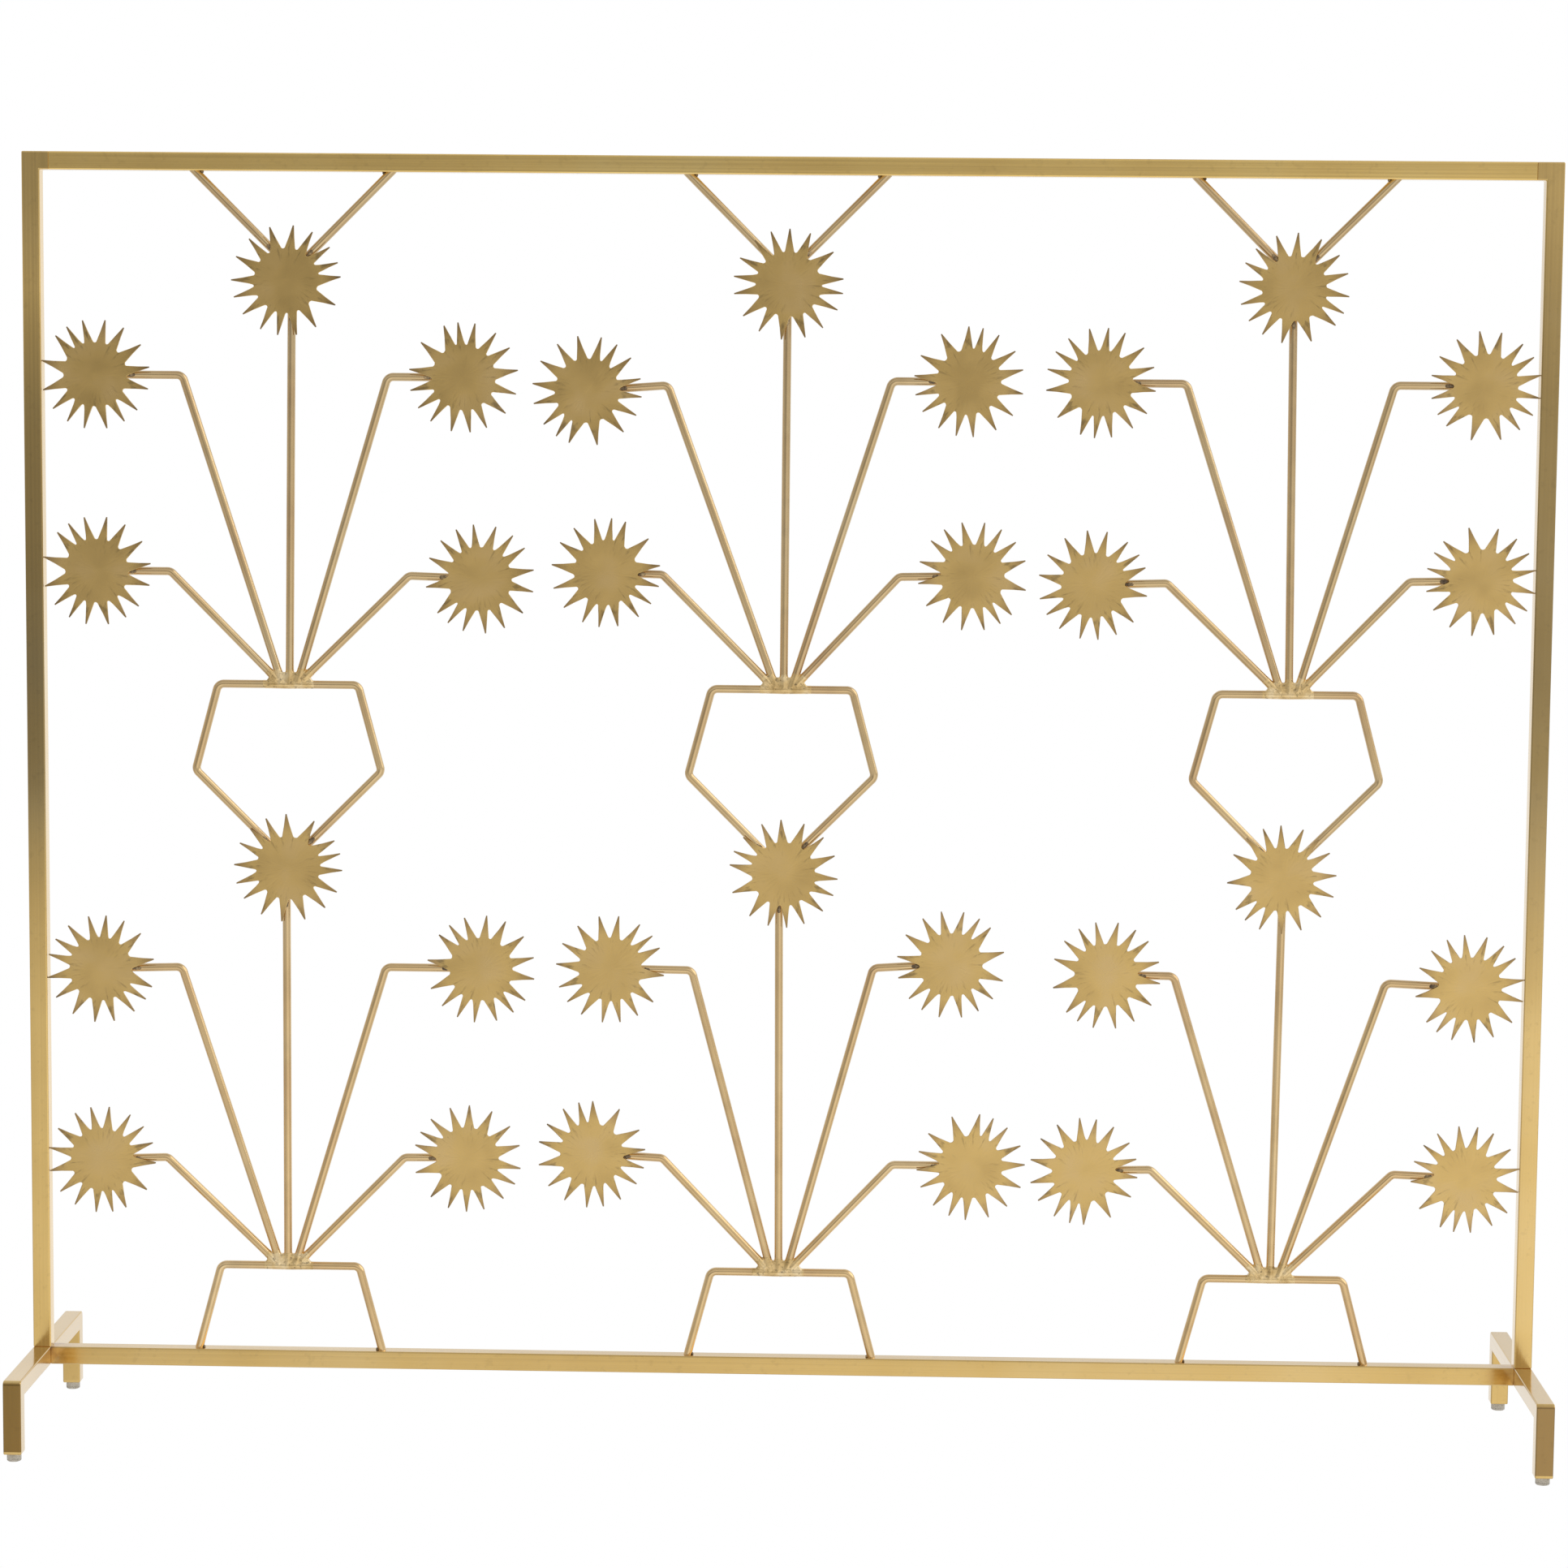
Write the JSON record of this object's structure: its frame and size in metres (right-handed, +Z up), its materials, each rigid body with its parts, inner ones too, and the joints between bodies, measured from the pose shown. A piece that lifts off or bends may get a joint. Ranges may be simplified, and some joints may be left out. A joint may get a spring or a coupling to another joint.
{
  "type": "fireplace screen",
  "caption": "Free-standing fireplace screen: a square-tube frame on two inverted-U feet, filled with bent-bar vases whose stems carry sunburst sheet flowers.",
  "frame": {"origin": "on the floor, under the middle of the screen", "axes": "+X along the screen to the right as seen from the front, +Y towards the rear, +Z up"},
  "size_m": [1.016, 0.203, 0.86],
  "materials": {
    "tube": "polished square tube with a soft satin sheen",
    "bar": "satin-polished round bar",
    "weld": "ground and plated weld metal",
    "sheet": "hand-burnished sheet with fine radial grinding marks",
    "glide": "clear, slightly cloudy"
  },
  "bodies": {
    "root": {"top_rail": "tube", "bottom_rail": "tube", "left_upright": "tube", "right_upright": "tube", "left_foot_bar": "tube", "left_front_leg": "tube", "left_rear_leg": "tube", "right_foot_bar": "tube", "right_front_leg": "tube", "right_rear_leg": "tube", "leg_end_caps": "tube", "glides": "glide", "stem_root_welds": "weld", "left_top_struts": "bar", "middle_top_struts": "bar", "right_top_struts": "bar", "upper_left_vase": "bar", "upper_middle_vase": "bar", "upper_right_vase": "bar", "lower_left_vase": "bar", "lower_middle_vase": "bar", "lower_right_vase": "bar", "upper_left_stems": "bar", "upper_middle_stems": "bar", "upper_right_stems": "bar", "lower_left_stems": "bar", "lower_middle_stems": "bar", "lower_right_stems": "bar", "upper_left_centre_flower": "sheet", "upper_left_left_tall_flower": "sheet", "upper_left_right_tall_flower": "sheet", "upper_left_left_short_flower": "sheet", "upper_left_right_short_flower": "sheet", "upper_middle_centre_flower": "sheet", "upper_middle_left_tall_flower": "sheet", "upper_middle_right_tall_flower": "sheet", "upper_middle_left_short_flower": "sheet", "upper_middle_right_short_flower": "sheet", "upper_right_centre_flower": "sheet", "upper_right_left_tall_flower": "sheet", "upper_right_right_tall_flower": "sheet", "upper_right_left_short_flower": "sheet", "upper_right_right_short_flower": "sheet", "lower_left_centre_flower": "sheet", "lower_left_left_tall_flower": "sheet", "lower_left_right_tall_flower": "sheet", "lower_left_left_short_flower": "sheet", "lower_left_right_short_flower": "sheet", "lower_middle_centre_flower": "sheet", "lower_middle_left_tall_flower": "sheet", "lower_middle_right_tall_flower": "sheet", "lower_middle_left_short_flower": "sheet", "lower_middle_right_short_flower": "sheet", "lower_right_centre_flower": "sheet", "lower_right_left_tall_flower": "sheet", "lower_right_right_tall_flower": "sheet", "lower_right_left_short_flower": "sheet", "lower_right_right_short_flower": "sheet"}
  },
  "joints": []
}
